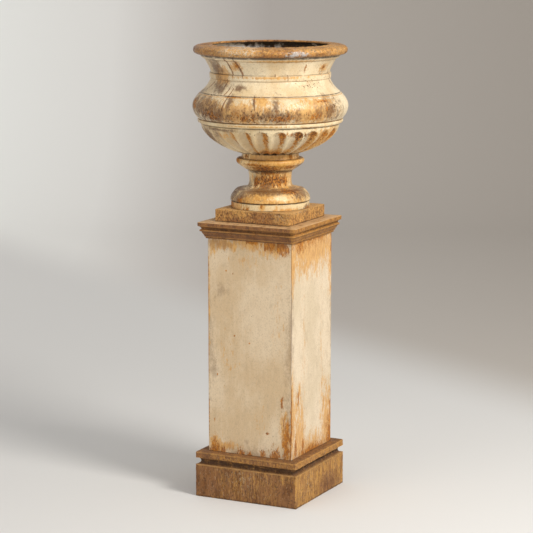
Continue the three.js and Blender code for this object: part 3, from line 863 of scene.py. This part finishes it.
def make_lower_bowl():
    outline = trace(
        (98, 1048), 1.9, [(140, 1060), (205, 1093), (208, 1133)], 1.0, [(207, 1135)], [(210, 1136.5)],
        [(219, 1138), (219, 1143), (218.5, 1148)], [(216, 1150)], COARSE, [(172, 1150)], [(172, 1142)],
        [(193, 1142)], [(192, 1103), (128, 1072), (84, 1060)], [(BORE, 1060)], [(BORE, 1048)])
    mesh = combine(round_shape(outline, FLUTES * 30), rods(DRAIN_PLACES, DRAIN_RADIUS, 1040, 1070))
    carve_flutes(mesh)
    weather(mesh, wave=0.7, pit=0.4, pit_size=8, chip=0.8, seed=81)
    finish = bowl_finish(
        "lower_bowl_paint", "lower_bowl", colour("#efdcb4"), colour("#d8bb8a"),
        {"gold": -0.12, "rust": -0.16, "pits": -0.16, "soot": -0.12},
        {"rust": [(50, 1118, 110, 14), (28, 1054, 150, 12), (60, 1138, 90, 5), (92, 1112, 40, 30)],
         "gold": [(84, 1100, 120, 60), (28, 1060, 150, 16), (10, 1143, 200, 4), (-20, 1110, 70, 24)],
         "pits": [(20, 1122, 100, 12), (60, 1110, 80, 30)],
         "soot": [(-50, 1104, 120, 60), (28, 1054, 150, 18), (-20, 1128, 120, 8)],
         "calm": [(-42, 1100, 180, 90)]},
        seed=87, levels=[(1135.5, 2.2, BARK, 0.70), (1149.5, 1.6, UMBER, 0.75), (1050, 3, COAL, 0.5)],
        fluted=True)
    piece("fluted_bowl", mesh, "lower_bowl", finish, "urn")


def make_upper_bowl():
    outline = trace(
        (216, 1150), 2.1, [(225, 1158), (234, 1172), (234, 1188)], [(234, 1202), (224, 1216), (212.5, 1227)],
        1.0, [(209, 1228)], [(208.5, 1231)], 2.1, [(196, 1240), (184, 1255), (179, 1270)], 1.3,
        [(182, 1272)], [(182.5, 1274), (182.5, 1285), (182, 1287)], [(178.5, 1289)], 2.1,
        [(181, 1302), (190, 1314), (197, 1328)], 1.2, [(199.5, 1329)], [(208, 1331), (210, 1341)], 5,
        [(207, 1341)], [(207, 1345)], [(203, 1345)], [(203, 1341)], [(199, 1341)],
        [(188, 1324), (172, 1312), (172, 1285)], 12, [(172, 1268)], [(176, 1238), (226, 1222), (226, 1188)],
        [(226, 1172), (218, 1160), (209, 1158)], [(172, 1158)], [(172, 1150)])
    mesh = round_shape(outline, 552)
    weather(mesh, wave=0.8, pit=0.35, pit_size=8, chip=0.8, seed=91)
    finish = bowl_finish(
        "upper_bowl_paint", "upper_bowl", colour("#eedcb9"), colour("#dac095"),
        {"gold": -0.12, "rust": -0.17, "pits": -0.14, "soot": -0.13},
        {"rust": [(-22, 1172, 90, 36), (14, 1170, 14, 34), (6, 1168, 80, 26), (36, 1166, 80, 24),
                  (60, 1170, 60, 26), (72, 1190, 8, 30), (-5, 1227, 80, 5), (84, 1308, 24, 14),
                  (60, 1310, 12, 24), (-4, 1316, 24, 22), (70, 1214, 60, 8), (-50, 1200, 60, 40)],
         "gold": [(0, 1178, 150, 44), (60, 1178, 120, 44), (64, 1212, 90, 16), (20, 1216, 30, 18),
                  (26, 1282, 260, 6), (84, 1306, 46, 26), (-30, 1196, 110, 44), (40, 1331, 220, 6),
                  (-6, 1314, 40, 30), (-24, 1280, 60, 40)],
         "pits": [(20, 1176, 200, 44), (84, 1190, 90, 40), (66, 1262, 90, 26), (84, 1300, 50, 30),
                  (-24, 1176, 70, 60), (-30, 1176, 100, 60)],
         "haze": [(20, 1190, 260, 60), (76, 1186, 90, 50), (-30, 1300, 90, 60)],
         "soot": [(-56, 1200, 110, 60), (-20, 1172, 130, 50), (31, 1200, 20, 44), (-24, 1250, 70, 34),
                  (30, 1176, 200, 34), (-34, 1184, 170, 66), (78, 1186, 110, 60), (-2, 1252, 50, 16),
                  (-34, 1306, 80, 50), (-6, 1205, 16, 44), (14, 1215, 10, 24)],
         "crack": [*crack((-14, 1332), (-11, 1292), 4), *crack((-5, 1334), (0, 1290), 4),
                   *crack((98, 1292), (106, 1250), 3), *crack((14, 1226), (15, 1198), 3),
                   *crack((-17, 1272), (-19, 1256), 3), *crack((-12, 1250), (-14, 1232), 3),
                   *crack((-8, 1248), (-9, 1234), 3), *crack((-9, 1226), (-11, 1190), 3),
                   *crack((-38, 1264), (-46, 1240), 3), *crack((43, 1288), (43, 1276), 2.4),
                   *crack((31, 1292), (31, 1286), 3)]},
        seed=97, levels=[
            (1151, 2.0, RUST, 0.7), (1228.8, 2.2, BARK, 0.75), (1225, 1.8, OCHRE, 0.6),
            (1271, 1.3, UMBER, 0.55), (1288, 1.6, BARK, 0.6), (1285.5, 1.2, OCHRE, 0.5),
            # The dark band at the top of the neck, under the rim, is painted shade.
            (1329, 1.4, UMBER, 0.6), (1339, 4, BARK, 0.80)])
    piece("bowl_and_neck", mesh, "upper_bowl", finish, "urn")


def make_rim():
    outline = trace(
        (213, 1341), 1.6, [(231, 1341), (RIM_RADIUS, 1355)], [(RIM_RADIUS, 1364), (222, 1369), (208, 1370)],
        [(188, 1370)], [(184, 1372), (181, 1372)], [(175.5, 1372), (175.5, 1367)], [(177.5, 1364.5)], 4,
        [(199, 1363), (199, 1352)], [(199, 1341)], [(202.7, 1341)], [(202.7, 1345.3)], [(207.3, 1345.3)],
        [(207.3, 1341)], [(213, 1341)])[:-1]
    mesh = round_shape(outline, 600)
    weather(mesh, wave=1.0, pit=0.6, pit_size=9, chip=1.2, seed=101)
    f = Finish("rim_rust")
    f.unroll(RIM_RADIUS * MM)
    browns = (colour("#643816"), colour("#a56d2e"), colour("#e5ab5a"))

    def around(*spots):
        return patches(f, [(bearing_spot(b, RIM_RADIUS, up), wide, tall) for b, up, wide, tall in spots])

    bright = around((0, 1358, 110, 24), (90, 1358, 100, 24), (60, 1362, 70, 12))
    brown = around((-62, 1350, 90, 30), (36, 1345, 120, 10), (120, 1345, 90, 12), (-150, 1360, 120, 14))
    # The dark line along the roll's underside is painted shade.
    colours, roughness, height, depth = bare_rust(
        f, browns, run_lift=(-0.02, (bright, 0.12), (brown, -0.2)), fleck_lift=(-0.04, (bright, 0.10)),
        seed=107, gloss=0.40, stretch=0.9, levels=[(1342, 3.0, COAL, 0.75)], edge=0.2)
    hatch = f.mask(f.cloud(0.006, 0.7, 4, 0.7, 171, 1.2), 0.49, 0.57)
    # At the front the pale cream on the hatch is painted highlights glinting on the rust scales.
    painted_glints = f.maths("MULTIPLY", hatch, f.mask(around((2, 1360, 80, 24)), 0.0, 0.5))
    colours = blend_layers(f, colours, [(hatch, UMBER, 0.45), (painted_glints, PALE_CREAM, 0.60)])
    # A grey patch at the front right, where the key light is reflected, is partly worn bare metal and partly
    # a painted highlight.
    sheen = around((46, 1352, 64, 18))
    worn_and_highlit = f.mask(f.lifted(f.ragged(0.010, 1.1, 131), -0.14, (sheen, 0.26)), 0.46, 0.58)
    colours = f.mix(f.maths("MULTIPLY", worn_and_highlit, 0.75), colours, GREY_HIGHLIGHT)
    # The roll's inner side, below the mouth's lip, is painted near black as painted shade under the
    # overhanging lip, with a pale grey patch at the back left as painted light where the key light reaches
    # the inner wall.
    flat = f.add("ShaderNodeVectorMath", {0: f.point, 1: (1, 1, 0)}, operation="MULTIPLY").outputs[0]
    reach = f.add("ShaderNodeVectorMath", {0: flat}, operation="LENGTH").outputs["Value"]
    under = f.mask(f.axis("Z"), 1366.5 * MM, 1364.5 * MM)
    within = f.maths("MULTIPLY", f.mask(reach, 201.2 * MM, 199.5 * MM), under)
    lit_inner_patch = f.mask(f.lifted(f.cloud(0.03, 1, 5), -0.1, (around((-110, 1350, 200, 16)), 0.5)), 0.45, 0.6)
    colours = f.mix(within, colours, f.mix(lit_inner_patch, COAL, GREY_HIGHLIGHT))
    piece("rolled_rim", mesh, "rim_ring", f.finish(colours, roughness, height, depth), "urn")


# ---- Ironmongery ---------------------------------------------------------------------

def finish_ironmongery():
    """Bolts, nuts, washers, screws and angle irons keep their shapes and are only given a finish."""

    def iron(name, dark, mid, bright, gloss):
        f = Finish(name)
        look = bare_rust(
            f, (dark, mid, bright), run_lift=(-0.12,), fleck_lift=(-0.2,), seed=5, gloss=gloss, stretch=1.3)
        return f.finish(*look)

    hidden = iron("hidden_iron", BARK, UMBER, RUST, 0.85)
    steel = iron("fastener_steel", colour("#4b3a2c"), colour("#6f6459"), ORANGE, 0.6)
    for name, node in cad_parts.items():
        if not node.hide_render:
            node.material_slots[0].material = hidden if name.startswith("corner_angle") else steel


# ---- Stage ---------------------------------------------------------------------------

SWEEP_STEPS = 24


def make_stage():
    """A pale floor that sweeps up into a backdrop well behind the urn, square to the camera."""
    near, bend, radius, top, half_width = -8.0, 5.2, 2.8, 8.0, 12.0
    turns = [math.pi / 2 * i / SWEEP_STEPS for i in range(SWEEP_STEPS + 1)]
    sweep = [(bend + radius * math.sin(t), radius - radius * math.cos(t)) for t in turns]
    mesh = bmesh.new()
    outline = [(near, 0), *sweep, (bend + radius, top)]
    verts = [mesh.verts.new(on_stage(-half_width, away, height)) for away, height in outline]
    edges = [mesh.edges.new(pair) for pair in zip(verts, verts[1:])]
    made = bmesh.ops.extrude_edge_only(mesh, edges=edges)
    moved = [g for g in made["geom"] if isinstance(g, bmesh.types.BMVert)]
    bmesh.ops.translate(mesh, verts=moved, vec=on_stage(half_width * 2, 0, 0))
    floor = finished("backdrop", mesh, backdrop_finish())


# The backdrop is painted darker from left to right as painted shade: metres to the right of the urn, and the
# tint there.
BACKDROP_SHADE_TINTS = [
    (-1.75, "#f4f4f0"), (-1.0, "#eeece8"), (-0.5, "#d6d1cc"), (0.0, "#c0b9b3"), (0.57, "#bfb8b0"),
    (1.65, "#b9b1a8")]
FLOOR_TINT = "#dbd9d6"
# The edge of the painted shadow runs down to the right across the floor: how many metres nearer it comes for
# each metre to the right, and how far behind the urn it starts and is full.
SHADOW_EDGE_SLOPE = 1.5
SHADOW_EDGE_START = 2.1
SHADOW_EDGE_FULL = 3.3


def backdrop_finish():
    f = Finish("backdrop")
    square = f.add("ShaderNodeMapping", {"Vector": f.point, "Rotation": (0, 0, -CAMERA_BEARING)})
    parts = f.add("ShaderNodeSeparateXYZ", {0: square.outputs[0]}).outputs
    aside, away = parts["X"], parts["Y"]
    # Past the slanting edge the floor and sweep take the wall's tints: light on the left, painted shade on
    # the right.
    wall = colour(BACKDROP_SHADE_TINTS[0][1])
    for (start, _), (end, tint) in zip(BACKDROP_SHADE_TINTS, BACKDROP_SHADE_TINTS[1:]):
        share = f.add("ShaderNodeMapRange", {"Value": aside, "From Min": start, "From Max": end})
        wall = f.mix(share.outputs[0], wall, colour(tint))
    edge = f.maths("ADD", away, f.maths("MULTIPLY", aside, SHADOW_EDGE_SLOPE))
    tint = f.mix(f.mask(edge, SHADOW_EDGE_START, SHADOW_EDGE_FULL), colour(FLOOR_TINT), wall)
    grain = f.maths("MULTIPLY", f.cloud(0.5, 1, 3), 0.05)
    roughness = f.maths("ADD", grain, 0.9)
    return f.finish(tint, roughness, f.cloud(0.01, 1, 2), 0.00005)


# ---- Making it -----------------------------------------------------------------------

make_camera()
make_lights()
make_stage()
make_block()
make_slab()
for panel_side, panel_turn in (("front", 0), ("right", 90), ("back", 180), ("left", 270)):
    make_panel(panel_side, panel_turn, 120 + panel_turn / 10)
make_cornice()
make_urn_base()
make_disc()
make_socle()
make_collar()
make_lower_bowl()
make_upper_bowl()
make_rim()
finish_ironmongery()
